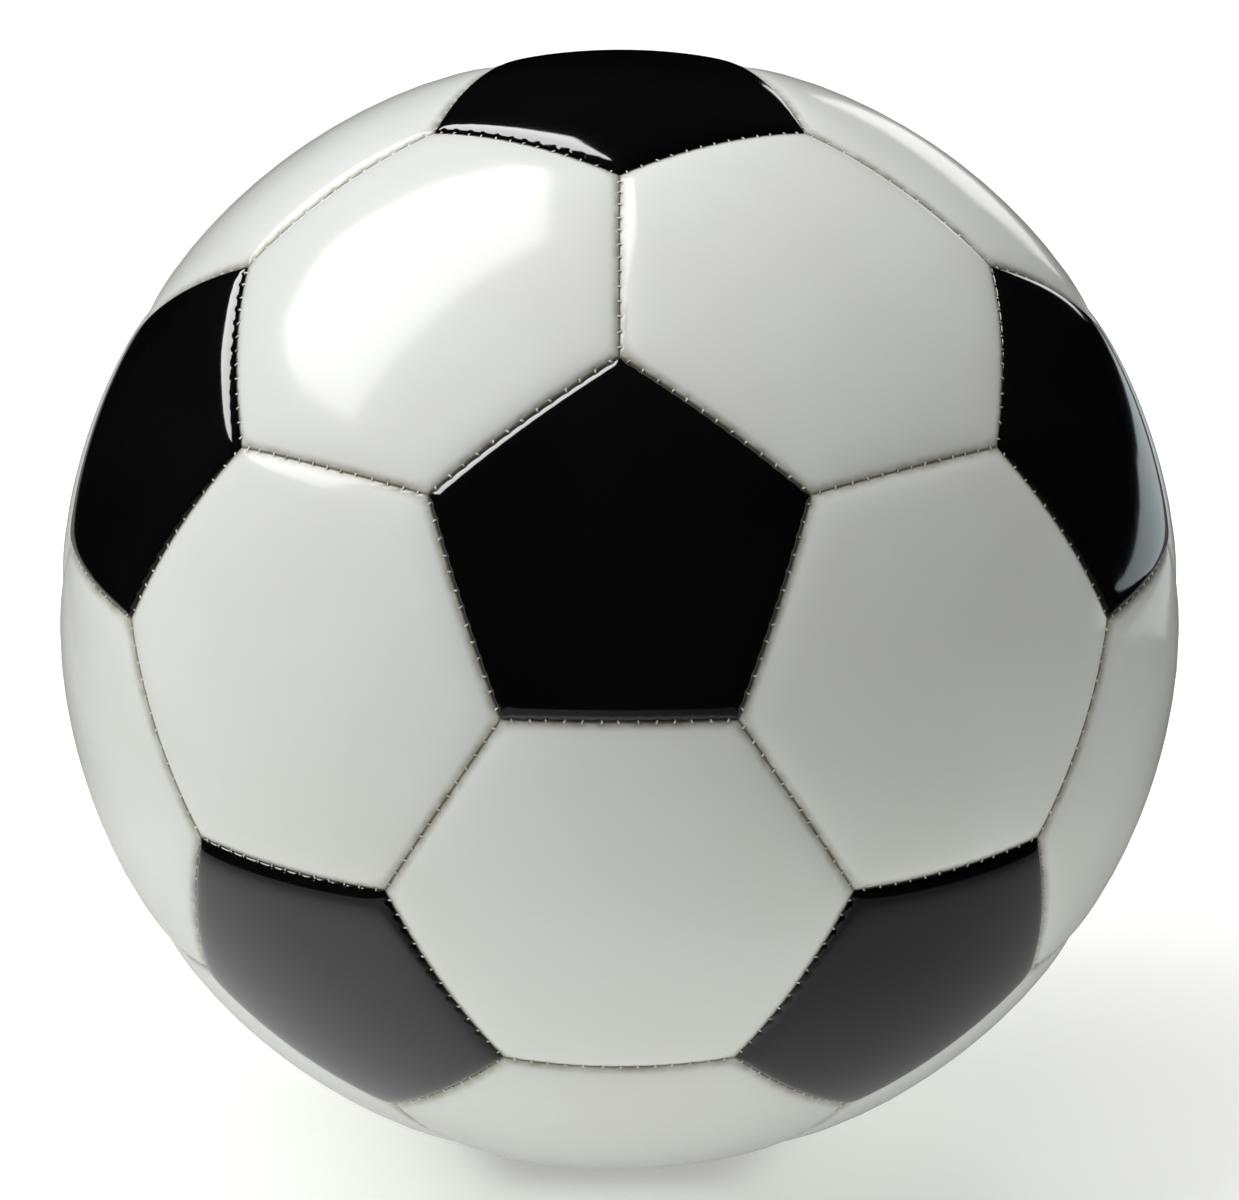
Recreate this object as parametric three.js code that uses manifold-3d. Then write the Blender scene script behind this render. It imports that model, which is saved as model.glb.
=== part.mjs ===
// A size 5 soccer ball of the stitched kind: twelve pentagons and twenty hexagons of foam-backed laminate,
// sewn edge to edge with waxed thread round an air bladder that has a needle valve.
//
// Millimetres, +Z up, origin at the centre of the ball. A pentagon is at the top and another at the bottom,
// and one of the five pentagons of the upper ring faces -Y. The valve is in the hexagon that faces +Y.

import * as THREE from "three";
import { mergeVertices } from "three/addons/utils/BufferGeometryUtils.js";
import Module from "manifold-3d";

// ---------------------------------------------------------------- driving dimensions

const crownRadius = 110; // ball centre to the middle of a panel, which makes the ball 691 mm round
const restFlatRadius = 4; // flat at each crown, as wide as the ball's weight presses it on a hard floor
const stepsPerSide = 3; // straight steps along each side of a panel

// The edge of a panel, from its shoulder over the lip, down the turned-in flange and back to the lining.
// inset is the distance from the middle plane of the seam, radius the distance from the ball's centre.
const seamHalfGap = 0.15;
const flangeThickness = 2.2;
const liningRadius = 106.6;
const flangeEndRadius = 104.2;
const panelEdge = [
  { inset: 3.2, radius: 109.4 },
  { inset: 1.1, radius: 108.3 },
  { inset: seamHalfGap, radius: 106.6 },
  { inset: seamHalfGap, radius: flangeEndRadius },
  { inset: flangeThickness, radius: flangeEndRadius },
  { inset: flangeThickness, radius: liningRadius },
];
const midOuterRadius = 109.85; // the puffed face halfway from the crown to the shoulder

const threadRadius = 0.35; // of the loop round a pentagon
const branchRadius = 0.3; // of the lengths that leave the loop's corners, whose ends sit inside the loop
const threadDepthRadius = 107.7; // ball centre to the middle of the thread
const branchEndGap = 0.15; // from the end of a branch to the middle of a seam that two runs share
const branchSteps = 2;

const bladderOuterRadius = 103.5;
const bladderWall = 1;
const bladderSegments = 20;
const bladderSteps = 10;

// The valve, given as radii from its own axis and heights from the centre of the ball.
const valveHoleRadius = 3; // hole in the panel
const drillLength = 30; // more than the panel's depth
const valveNeckRadius = 2.6;
const valveNeckTop = 109.2;
const valveNeckFoot = 105;
const valveShoulderDepth = 1; // of the cone between the neck and the barrel
const valveBarrelRadius = 4.4;
const valveFlangeRadius = 9;
const valveFlangeTop = 101.2;
const valveFlangeThickness = 1.4;
const valveBarrelEnd = 90;
const valveChamferWidth = 0.4;
const valveMouthRadius = 0.7;
const valveMouthDepth = 1.2;
const insertHoleRadius = 1.9;
const insertHoleTop = 107.4;
const insertRadius = 1.55;
const insertLength = 15.5;
const insertTop = 107;
const insertSlit = { width: 0.3, span: 1.9 };
const bladderHoleRadius = 4.8;
const patchThickness = 0.7;
const patchSteps = 2;
const bladderPatch = { innerRadius: 103.8, holeRadius: bladderHoleRadius, rimRadius: 17 };
const panelPatch = { innerRadius: 104.85, holeRadius: 3.4, rimRadius: 14 };
const valveSegments = 16;

// ---------------------------------------------------------------- materials

const whiteCover = { color: 0xe4e5df, roughness: 0.22, metalness: 0 };
const blackCover = { color: 0x0b0b0d, roughness: 0.18, metalness: 0 };
const waxedThread = { color: 0xd6d3c6, roughness: 0.7, metalness: 0 };
const butylRubber = { color: 0x242424, roughness: 0.6, metalness: 0 };
const valveRubber = { color: 0x2e2e2e, roughness: 0.5, metalness: 0 };
const siliconeInsert = { color: 0xb9b6a6, roughness: 0.45, metalness: 0 };
const cottonPatch = { color: 0xcfc8b4, roughness: 0.9, metalness: 0 };

// ---------------------------------------------------------------- the pattern of panels

// The pentagons sit on the twelve corners of an icosahedron that stands on one of them.
function pentagonDirections() {
  const height = 1 / Math.sqrt(5);
  const reach = 2 / Math.sqrt(5);
  const onRing = (level, turn) => {
    const azimuth = THREE.MathUtils.degToRad(turn - 90);
    return new THREE.Vector3(reach * Math.cos(azimuth), reach * Math.sin(azimuth), level);
  };
  const fifths = [0, 1, 2, 3, 4].map((index) => index * 72);
  return [
    new THREE.Vector3(0, 0, 1),
    ...fifths.map((turn) => onRing(height, turn)),
    ...fifths.map((turn) => onRing(-height, turn + 36)),
    new THREE.Vector3(0, 0, -1),
  ];
}

const pentagons = pentagonDirections();
const neighbourDot = 1 / Math.sqrt(5);
const roundingError = 1e-6;

function areNeighbours(first, second) {
  return Math.abs(first.dot(second) - neighbourDot) < roundingError;
}

// The corner of the pentagon round `near` that points at the pentagon round `far`: a third of the way.
function seamCorner(near, far) {
  return near.clone().multiplyScalar(2).add(far).normalize();
}

// A hexagon lies between each three pentagons that are neighbours of one another.
function hexagonPlaces() {
  const places = [];
  pentagons.forEach((first, i) => {
    pentagons.slice(i + 1).forEach((second, offset) => {
      pentagons.slice(i + offset + 2).forEach((third) => {
        if (areNeighbours(first, second) && areNeighbours(second, third) && areNeighbours(first, third)) {
          const centre = first.clone().add(second).add(third).normalize();
          places.push({ centre, corner: seamCorner(first, second) });
        }
      });
    });
  });
  return places;
}

function pentagonPlaces() {
  return pentagons.map((centre) => {
    const neighbour = pentagons.find((other) => areNeighbours(centre, other));
    return { centre, corner: seamCorner(centre, neighbour) };
  });
}

const pentagonSpots = pentagonPlaces();
const hexagonSpots = hexagonPlaces();
const pentagonCornerAngle = pentagonSpots[0].centre.angleTo(pentagonSpots[0].corner);
const hexagonCornerAngle = hexagonSpots[0].centre.angleTo(hexagonSpots[0].corner);
const sideAngle = pentagons[0].angleTo(pentagons[1]) - 2 * pentagonCornerAngle;

// Turns a piece made round its own +Z, with a corner over its own +X, to its place on the ball.
function turnTo(object, { centre, corner }) {
  const side = new THREE.Vector3().crossVectors(centre, corner).normalize();
  const forward = new THREE.Vector3().crossVectors(side, centre);
  object.setRotationFromMatrix(new THREE.Matrix4().makeBasis(forward, side, centre));
}

// ---------------------------------------------------------------- solids and booleans

const wasm = await Module();
wasm.setup();
const weldDistance = 1e-4;

function toSolid(geometry) {
  const bare = geometry.clone();
  bare.deleteAttribute("normal");
  bare.deleteAttribute("uv");
  const merged = mergeVertices(bare, weldDistance);
  const vertProperties = new Float32Array(merged.attributes.position.array);
  const triVerts = new Uint32Array(merged.index.array);
  return new wasm.Manifold(new wasm.Mesh({ numProp: 3, vertProperties, triVerts }));
}

function toGeometry(solid) {
  const mesh = solid.getMesh();
  const geometry = new THREE.BufferGeometry();
  geometry.setAttribute("position", new THREE.BufferAttribute(mesh.vertProperties, 3));
  geometry.setIndex(new THREE.BufferAttribute(mesh.triVerts, 1));
  geometry.computeVertexNormals();
  return geometry;
}

function indexedGeometry(points, triangles) {
  const geometry = new THREE.BufferGeometry().setFromPoints(points);
  geometry.setIndex(triangles);
  geometry.computeVertexNormals();
  return geometry;
}

// The triangles of the band between two rings of `count` points that start at these places in the list.
function bandTriangles(near, far, count) {
  const triangles = [];
  for (let step = 0; step < count; step += 1) {
    const next = (step + 1) % count;
    triangles.push(near + step, far + step, far + next);
    triangles.push(near + step, far + next, near + next);
  }
  return triangles;
}

// ---------------------------------------------------------------- panels

function pointAt(azimuth, polar, radius) {
  const across = radius * Math.sin(polar);
  return new THREE.Vector3(across * Math.cos(azimuth), across * Math.sin(azimuth), radius * Math.cos(polar));
}

// The outline of a regular panel centred on +Z with its first corner over +X. The function that it returns
// gives the ring of points at one inset from the seams' middle planes and one radius from the ball's centre;
// `share` draws the ring in towards the panel's middle.
function panelOutline(sides, cornerAngle) {
  const inclination = Math.atan(Math.tan(cornerAngle) * Math.cos(Math.PI / sides));
  const spots = [];
  for (let side = 0; side < sides; side += 1) {
    for (let step = 0; step < stepsPerSide; step += 1) {
      const along = (step / stepsPerSide - 0.5) * sideAngle;
      const fromMiddle = Math.atan(Math.tan(along) / Math.sin(inclination));
      spots.push({ fromMiddle, azimuth: ((side + 0.5) * 2 * Math.PI) / sides + fromMiddle });
    }
  }
  return (inset, radius, share = 1) =>
    spots.map(({ fromMiddle, azimuth }) => {
      const rise = Math.sin(inclination);
      const run = Math.cos(inclination) * Math.cos(fromMiddle);
      const polar = Math.acos(inset / (radius * Math.hypot(rise, run))) - Math.atan2(run, rise);
      return pointAt(azimuth, polar * share, radius);
    });
}

// A laminated panel: rings of points from the middle of its face, over the edge, to the middle of its lining.
function panelGeometry(sides, cornerAngle) {
  const ring = panelOutline(sides, cornerAngle);
  const flatAngle = Math.asin(restFlatRadius / crownRadius);
  const flatPoint = ({ x, y }) => pointAt(Math.atan2(y, x), flatAngle, crownRadius);
  const rings = [
    ring(0, crownRadius).map(flatPoint),
    ring(panelEdge[0].inset, midOuterRadius, 0.5),
    ...panelEdge.map(({ inset, radius }) => ring(inset, radius)),
    ring(flangeThickness, liningRadius, 0.5),
  ];
  const count = rings[0].length;
  const points = rings.flat();
  points.push(pointAt(0, 0, rings[0][0].z), pointAt(0, 0, liningRadius));
  const faceMiddle = rings.length * count;
  const liningMiddle = faceMiddle + 1;
  const lastRing = (rings.length - 1) * count;
  const triangles = [];
  for (let start = 0; start < lastRing; start += count) {
    triangles.push(...bandTriangles(start, start + count, count));
  }
  for (let step = 0; step < count; step += 1) {
    const next = (step + 1) % count;
    triangles.push(faceMiddle, step, next);
    triangles.push(lastRing + step, liningMiddle, lastRing + next);
  }
  return indexedGeometry(points, triangles);
}

function valvePanelGeometry() {
  const drill = new THREE.CylinderGeometry(valveHoleRadius, valveHoleRadius, drillLength, valveSegments);
  drill.rotateX(Math.PI / 2);
  drill.translate(0, 0, crownRadius);
  const panel = toSolid(panelGeometry(6, hexagonCornerAngle));
  return toGeometry(panel.subtract(toSolid(drill)));
}

// ---------------------------------------------------------------- seam thread

// An arc of a great circle at the depth of the thread, that starts over +Z and leans towards this azimuth.
class RadialArc extends THREE.Curve {
  constructor(azimuth, fromPolar, toPolar) {
    super();
    this.azimuth = azimuth;
    this.fromPolar = fromPolar;
    this.toPolar = toPolar;
  }

  getPoint(t, target = new THREE.Vector3()) {
    const polar = THREE.MathUtils.lerp(this.fromPolar, this.toPolar, t);
    return target.copy(pointAt(this.azimuth, polar, threadDepthRadius));
  }
}

// The closed loop of thread round a pentagon: a square section, one edge of it turned to the ball's middle.
function threadLoopGeometry() {
  const ring = panelOutline(5, pentagonCornerAngle);
  const rings = [
    ring(0, threadDepthRadius + threadRadius),
    ring(-threadRadius, threadDepthRadius),
    ring(0, threadDepthRadius - threadRadius),
    ring(threadRadius, threadDepthRadius),
  ];
  const count = rings[0].length;
  const triangles = rings.flatMap((_, index) =>
    bandTriangles(index * count, ((index + 1) % rings.length) * count, count),
  );
  return indexedGeometry(rings.flat(), triangles);
}

function threadBranchGeometry(azimuth) {
  const section = new THREE.Shape([0, 1, 2, 3].map((quarter) => {
    const turn = (quarter * Math.PI) / 2;
    return new THREE.Vector2(branchRadius * Math.cos(turn), branchRadius * Math.sin(turn));
  }));
  const halfSeam = sideAngle / 2 - branchEndGap / threadDepthRadius;
  const extrudePath = new RadialArc(azimuth, pentagonCornerAngle, pentagonCornerAngle + halfSeam);
  return new THREE.ExtrudeGeometry(section, { steps: branchSteps, extrudePath });
}

// One run of thread: round a pentagon, and out from each corner along half of the seam that starts there.
function threadRunGeometry() {
  const branches = [0, 1, 2, 3, 4].map((side) => threadBranchGeometry((side * 2 * Math.PI) / 5));
  const loop = toSolid(threadLoopGeometry());
  return toGeometry(branches.map(toSolid).reduce((run, branch) => run.add(branch), loop));
}

// ---------------------------------------------------------------- bladder and valve, round their own +Y

// Points along an arc about the ball's centre, each step at an angle from the valve's axis.
function arcPoints(radius, fromAngle, toAngle, steps) {
  return Array.from({ length: steps + 1 }, (_, step) => {
    const angle = THREE.MathUtils.lerp(fromAngle, toAngle, step / steps);
    return new THREE.Vector2(radius * Math.sin(angle), radius * Math.cos(angle));
  });
}

// The angle from the valve's axis at which a sphere of this radius is this far across from the axis.
function angleAcross(radius, across) {
  return Math.asin(across / radius);
}

function bladderGeometry() {
  const outerRadius = bladderOuterRadius;
  const innerRadius = bladderOuterRadius - bladderWall;
  const outerRim = angleAcross(outerRadius, bladderHoleRadius);
  const innerRim = angleAcross(innerRadius, bladderHoleRadius);
  const outer = arcPoints(outerRadius, Math.PI, outerRim, bladderSteps);
  const inner = arcPoints(innerRadius, innerRim, Math.PI, bladderSteps);
  outer[0].x = 0;
  inner[bladderSteps].x = 0;
  return new THREE.LatheGeometry([...outer, ...inner], bladderSegments);
}

// A ring-shaped patch that follows the curve of the ball.
function patchGeometry({ innerRadius, holeRadius, rimRadius }) {
  const outerRadius = innerRadius + patchThickness;
  const outerRim = angleAcross(outerRadius, rimRadius);
  const outerHole = angleAcross(outerRadius, holeRadius);
  const innerHole = angleAcross(innerRadius, holeRadius);
  const innerRim = angleAcross(innerRadius, rimRadius);
  const top = arcPoints(outerRadius, outerRim, outerHole, patchSteps);
  const under = arcPoints(innerRadius, innerHole, innerRim, patchSteps);
  return new THREE.LatheGeometry([...top, ...under, top[0].clone()], valveSegments);
}

function valveBodyGeometry() {
  const outline = [
    [valveBarrelRadius, valveBarrelEnd],
    [valveBarrelRadius, valveFlangeTop - valveFlangeThickness],
    [valveFlangeRadius, valveFlangeTop - valveFlangeThickness],
    [valveFlangeRadius, valveFlangeTop],
    [valveBarrelRadius, valveFlangeTop],
    [valveBarrelRadius, valveNeckFoot - valveShoulderDepth],
    [valveNeckRadius, valveNeckFoot],
    [valveNeckRadius, valveNeckTop - valveChamferWidth],
    [valveNeckRadius - valveChamferWidth, valveNeckTop],
    [valveMouthRadius, valveNeckTop],
    [valveMouthRadius, valveNeckTop - valveMouthDepth],
    [insertHoleRadius, insertHoleTop],
    [insertHoleRadius, valveBarrelEnd],
    [valveBarrelRadius, valveBarrelEnd],
  ];
  const points = outline.map(([across, height]) => new THREE.Vector2(across, height));
  return new THREE.LatheGeometry(points, valveSegments);
}

function valveInsertGeometry() {
  const middle = insertTop - insertLength / 2;
  const plug = new THREE.CylinderGeometry(insertRadius, insertRadius, insertLength, valveSegments);
  const slit = new THREE.BoxGeometry(insertSlit.span, 2 * insertLength, insertSlit.width);
  plug.translate(0, middle, 0);
  slit.translate(0, middle, 0);
  return toGeometry(toSolid(plug).subtract(toSolid(slit)));
}

// ---------------------------------------------------------------- assembly

const ball = new THREE.Group();

function addPiece(parent, name, geometry, finish) {
  const piece = new THREE.Mesh(geometry, new THREE.MeshStandardMaterial(finish));
  piece.name = name;
  parent.add(piece);
  return piece;
}

function numbered(name, index) {
  return `${name}_${String(index + 1).padStart(2, "0")}`;
}

const pentagonGeometry = panelGeometry(5, pentagonCornerAngle);
const hexagonGeometry = panelGeometry(6, hexagonCornerAngle);
const threadGeometry = threadRunGeometry();

pentagonSpots.forEach((spot, index) => {
  turnTo(addPiece(ball, numbered("pentagon_panel", index), pentagonGeometry, blackCover), spot);
  turnTo(addPiece(ball, numbered("seam_thread", index), threadGeometry, waxedThread), spot);
});

// The valve's hexagon is the one that faces +Y, just above the ball's middle.
const facesBack = ({ centre }) => Math.abs(centre.x) < roundingError && centre.y > 0.9 && centre.z > 0;
const valveSpot = hexagonSpots.find(facesBack);

hexagonSpots.filter((spot) => spot !== valveSpot).forEach((spot, index) => {
  turnTo(addPiece(ball, numbered("hexagon_panel", index), hexagonGeometry, whiteCover), spot);
});
turnTo(addPiece(ball, "hexagon_panel_valve", valvePanelGeometry(), whiteCover), valveSpot);

const valveGroup = new THREE.Group();
valveGroup.quaternion.setFromUnitVectors(new THREE.Vector3(0, 1, 0), valveSpot.centre);
addPiece(valveGroup, "bladder", bladderGeometry(), butylRubber);
addPiece(valveGroup, "bladder_valve_patch", patchGeometry(bladderPatch), butylRubber);
addPiece(valveGroup, "valve_body", valveBodyGeometry(), valveRubber);
addPiece(valveGroup, "valve_insert", valveInsertGeometry(), siliconeInsert);
addPiece(valveGroup, "valve_panel_patch", patchGeometry(panelPatch), cottonPatch);
ball.add(valveGroup);

export default ball;
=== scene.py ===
"""The looks of a stitched soccer ball: glossy puffed panels, the stitches in the seams, bladder and valve.

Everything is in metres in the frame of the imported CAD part: origin at the centre of the ball, +Z up.
"""

import math

import bmesh
import bpy
import numpy as np
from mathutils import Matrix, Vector


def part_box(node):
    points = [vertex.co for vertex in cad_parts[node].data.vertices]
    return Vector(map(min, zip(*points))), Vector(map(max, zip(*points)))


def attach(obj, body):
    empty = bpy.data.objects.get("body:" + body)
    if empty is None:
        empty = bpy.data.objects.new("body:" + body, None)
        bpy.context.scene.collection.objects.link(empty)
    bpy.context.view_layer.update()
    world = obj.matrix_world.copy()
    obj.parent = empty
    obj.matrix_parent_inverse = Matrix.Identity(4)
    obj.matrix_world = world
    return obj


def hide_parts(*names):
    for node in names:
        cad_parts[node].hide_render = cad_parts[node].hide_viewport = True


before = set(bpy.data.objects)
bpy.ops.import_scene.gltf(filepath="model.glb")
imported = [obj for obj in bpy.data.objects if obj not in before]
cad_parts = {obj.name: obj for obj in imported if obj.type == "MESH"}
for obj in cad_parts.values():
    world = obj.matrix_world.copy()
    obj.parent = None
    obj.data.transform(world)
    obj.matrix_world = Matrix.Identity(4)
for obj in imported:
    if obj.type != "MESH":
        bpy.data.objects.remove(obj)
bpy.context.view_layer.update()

# ------------------------------------------------------------------ driving dimensions

MM = 0.001
TINY = 1e-9  # a length that counts as none
PENTAGON_COUNT = 12
PLAIN_HEXAGON_COUNT = 19  # the twentieth has the valve
HEXAGON_SEED = 20  # the pentagons' seeds are lower
NEIGHBOUR_COSINE = 1 / math.sqrt(5)  # of the angle between the middles of the nearest pentagons
FLOOR_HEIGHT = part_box("pentagon_panel_12")[0][2]
REST_FLAT_RADIUS = 4 * MM
CROWN_RADIUS = math.hypot(FLOOR_HEIGHT, REST_FLAT_RADIUS)

# How far the face drops below the crown towards a seam, as pairs of a depth and the distance from
# the seam over which it dies away: the pinched groove, the shoulder, and the puff of the whole panel.
# The depths of both kinds of panel add up to the same, so that they meet at the seam.
PENTAGON_DROPS = ((0.05 * MM, 0.15 * MM), (1.05 * MM, 0.85 * MM), (0.65 * MM, 2.4 * MM))
HEXAGON_DROPS = ((0.05 * MM, 0.15 * MM), (0.5 * MM, 1.1 * MM), (1.2 * MM, 4.2 * MM))
CORNER_ROUNDING = 1.7  # lower rounds the corners of a panel's face more
LEAST_DISTANCE = 1e-3 * MM  # from a seam, for a point that lies on it
UNEVENNESS = 0.05 * MM
UNEVENNESS_LENGTH = 34 * MM
UNEVENNESS_WAVES = 6
SEAM_HOLD = 4 * MM  # how far from a seam the unevenness sets in

SEAM_GAP = 0.03 * MM  # from the middle of a seam to a turned-in edge
FLANGE_THICKNESS = 2.2 * MM
FLANGE_END_RADIUS = 104.4 * MM
FLANGE_MIDDLE_RADIUS = 105.6 * MM
LINING_RADIUS = 106.6 * MM

STITCHES_PER_SEAM = 13
FIRST_STITCH = 1.95 * MM  # from a corner
STITCH_JITTER = 0.25 * MM
HOLE_DEPTH = 0.26 * MM
HOLE_INSET = 0.4 * MM  # from the middle of the seam
HOLE_WIDTH = 0.3 * MM
PUCKER_DEPTH = 0.03 * MM
PUCKER_LENGTH = 0.8 * MM
PUCKER_REACH = 1.5 * MM
THREAD_RADIUS = 0.18 * MM
THREAD_SIDES = 8
THREAD_SLANT = 0.2 * MM
SLANT_SPREAD = (0.6, 1.2)  # the least and the most of that slant in a stitch
# A stitch across the seam, as distances in mm from the seam's middle and from the ball's centre.
STITCH_PATH = (
    (-0.55, 107.8), (-0.45, 108.2), (-0.22, 108.43), (0, 108.48),
    (0.22, 108.43), (0.45, 108.2), (0.55, 107.8),
)
RUN_RADIUS = 106.55 * MM  # the thread's hidden length between the turned-in edges
RUN_STEPS = 12

# Rings of points on a panel from the seam inwards. Each has its steps per side, and its distance from
# the seam, in mm near the edge and as a share of the way to the middle farther in.
EDGE_RINGS = (
    (0.03, 84), (0.12, 84), (0.24, 84), (0.38, 84), (0.55, 84), (0.75, 84), (1.0, 84),
    (1.35, 84), (1.8, 84), (2.4, 84), (3.2, 84), (4.3, 28), (5.8, 28), (8.0, 14),
)
MIDDLE_RINGS = ((0.35, 14), (0.47, 14), (0.6, 7), (0.73, 7), (0.86, 7))
FLANGE_STEPS = 28
LINING_EDGE_STEPS = 14
LINING_RINGS = ((0.3, 14), (0.5, 14), (0.7, 7))

VALVE_HOLE_RADIUS = 3 * MM
# The rounded rim of the valve's hole, in mm: distances from the hole's wall and drops below the face.
VALVE_RIM = ((5.0, 0), (2.2, 0), (1.0, 0.01), (0.5, 0.06), (0.2, 0.16), (0.05, 0.32), (0, 0.6))

LATHE_SEGMENTS = 96
BLADDER_RADIUS = 103.5 * MM
BLADDER_WALL = 1 * MM
BLADDER_HOLE_RADIUS = 4.8 * MM
BLADDER_ARC_POINTS = 64
PATCH_THICKNESS = 0.7 * MM
PATCH_ARC_POINTS = 12
BLADDER_PATCH = {"inner": 103.8 * MM, "hole": 4.8 * MM, "rim": 17 * MM}
PANEL_PATCH = {"inner": 104.85 * MM, "hole": 3.4 * MM, "rim": 14 * MM}
# The valve's outline in mm, as distances from its axis and heights above the ball's centre.
VALVE_OUTLINE = (
    (4.1, 90), (4.4, 90.3), (4.4, 98), (4.5, 99.3), (5.0, 99.8), (8.7, 99.8), (9, 100.1), (9, 100.9),
    (8.7, 101.2), (5.0, 101.2), (4.4, 101.7), (4.4, 104), (2.6, 105), (2.6, 108.8), (2.5, 109.05),
    (2.2, 109.2), (1.1, 109.2), (0.8, 109.05), (0.7, 108.8), (0.7, 108), (1.9, 107.4), (1.9, 90.3), (2.1, 90),
)
INSERT_RADIUS = 1.55 * MM
INSERT_TOP = 107 * MM
INSERT_LENGTH = 15.5 * MM
INSERT_CHAMFER = 0.2 * MM
INSERT_SIDES = 48
INSERT_SLIT = {"half_span": 0.95 * MM, "half_width": 0.15 * MM, "depth": 3 * MM, "floor_share": 0.6}

# The grain of each material: how far apart its features are, and how high where they stand out.
PEEL_SIZE = 1.1 * MM  # fine orange peel in the glossy skin
PEEL_DEPTH = 0.004 * MM
RIPPLE_SIZE = 7 * MM
RIPPLE_DEPTH = 0.012 * MM
MOTTLE_SIZE = 45 * MM
SCUFF_SIZE = 14 * MM
# patches in the band of grime and painted shade along the seams
GRIME_AND_SHADE_SIZE = 3.5 * MM
THREAD_GRIME_SIZE = 2.2 * MM
TWIST_PITCH = 0.9 * MM
TWIST_DEPTH = 0.06 * MM
WEAVE_PITCH = 3.2 * MM
WEAVE_DEPTH = 0.15 * MM
SLUB_SIZE = 5 * MM
BLOOM_SIZE = 9 * MM
GRAIN_SIZE = 0.5 * MM
GRAIN_DEPTH = 0.02 * MM
SILICONE_DEPTH = 1.5 * MM  # how far light goes into it
# Distances in mm from a seam between which the grime with its painted shade and the dirt fade out.
GRIME_AND_SHADE_FADE = (0.1, 1.9)
DIRT_FADE = (0.1, 0.45)
DIRT_AMOUNT = 0.6

# The baking layout has the face in one half of a square and the rest in the other.
HALF_WIDTH = (0.5, 1)
LEFT_MIDDLE = (0.25, 0.5)
RIGHT_MIDDLE = (0.75, 0.5)
LAYOUT_MARGIN = 2.1  # the square's side over the farthest point from a half's middle
EDGE_START = 0.5  # past this share of the way to a corner, depth below the crown counts as distance

CAMERA_ELEVATION = math.radians(21.07)
CAMERA_DISTANCE = 1.65
CAMERA_LENS = 244
CAMERA_SENSOR_WIDTH = 36
CAMERA_CLIP = (0.05, 50)
CAMERA_AIM_ABOVE = 1.77 * MM

FLOOR_CORNERS = ((-1.5, -1.5), (1.5, 2.5))
FLOOR_TINTS = ((0.775, 0.78, 0.76, 1), (0.755, 0.76, 0.74, 1))
FLOOR_TINT_SIZE = 0.4
FLOOR_GLOW = 0.41  # light of its own, which makes the pale floor look white
FLOOR_GLOW_COLOUR = (0.99, 1, 0.965, 1)
CARD_DEPTH = 0.1 * MM  # how far the cards that only the gloss shows lie under the floor
SHINE_CORNERS = ((-0.28, -0.5), (0.28, 0.75))
# How bright the floor looks in the gloss: less to the right, and less away from the ball.
SHINE_ACROSS = {"from": -0.12, "to": 0.12, "first": 0.54, "last": 0.22}
SHINE_AROUND = {"from": 0.17, "to": 0.25, "first": 1.0, "last": 0.35}
FAR_CORNERS = ((0.28, 0.25), (0.72, 0.82))
FAR_GLOW = 0.7
FAR_COLOUR = (0.84, 0.94, 0.97, 1)
# The window that the gloss shows, level and above the ball.
WINDOW_HEIGHT = 0.9
WINDOW_CORNERS = ((-0.14, 0.13), (-0.14, 0.60), (-0.9, 0.80), (-1.3, 0.64), (-1.38, 0.2), (-1.14, -0.30))
WINDOW_GLOW = 5.8
# The upright strip of bright ground that the gloss shows behind the ball.
BACKDROP_BEHIND = 1.6
BACKDROP_CORNERS = ((0.28, -0.1), (0.75, 0.28))
BACKDROP_GLOW = 1.3
AREA_LIGHT_WATTS = 4  # for each square metre of an area light and each unit of its radiance
WORLD_LIGHT = 0.001
LIGHTS = (
    {"name": "high_left_fill", "place": (-1.2, -0.2, 1.6), "size": (1.8, 1.8), "radiance": 2.6},
    {"name": "left_fill", "place": (-1.8, -0.5, 0.4), "size": (1.2, 0.9), "radiance": 0.3},
    {"name": "top_fill", "place": (0.2, 0.4, 2.0), "size": (1.8, 1.8), "radiance": 1.8},
    {"name": "back_fill", "place": (0.7, 1.5, 1.0), "size": (1.4, 1.0), "radiance": 1.6},
)

# ------------------------------------------------------------------ the pattern of panels


def unit(vectors):
    vectors = np.asarray(vectors, float)
    return vectors / np.linalg.norm(vectors, axis=-1, keepdims=True)


def pentagon_directions():
    """The twelve corners of an icosahedron that stands on one of them, with an upper one facing -Y."""
    height, reach = NEIGHBOUR_COSINE, 2 * NEIGHBOUR_COSINE
    directions = [(0, 0, 1)]
    for level, first in ((height, -90), (-height, -54)):
        for turn in range(5):
            azimuth = math.radians(first + 72 * turn)
            directions.append((reach * math.cos(azimuth), reach * math.sin(azimuth), level))
    directions.append((0, 0, -1))
    return np.array(directions)


PENTAGONS = pentagon_directions()


def neighbours(index):
    """The numbers of the five pentagons nearest to one."""
    cosines = PENTAGONS @ PENTAGONS[index]
    return [other for other in range(PENTAGON_COUNT) if math.isclose(cosines[other], NEIGHBOUR_COSINE)]


def seam_corner(near, far):
    """The corner of pentagon `near` that points at pentagon `far`."""
    return unit(2 * PENTAGONS[near] + PENTAGONS[far])


def anticlockwise(centre, corners):
    """The corners' names in order round the centre, seen from outside."""
    start = seam_corner(*corners[0])
    east = unit(np.cross(centre, start))
    north = np.cross(east, centre)
    directions = [seam_corner(*name) for name in corners]
    turns = [math.atan2(direction @ east, direction @ north) % math.tau for direction in directions]
    return [corners[index] for index in np.argsort(turns)]


def pentagon_patterns():
    """Each pentagon's centre and its corners' names in order."""
    return [
        (centre, anticlockwise(centre, [(index, other) for other in neighbours(index)]))
        for index, centre in enumerate(PENTAGONS)
    ]


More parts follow.
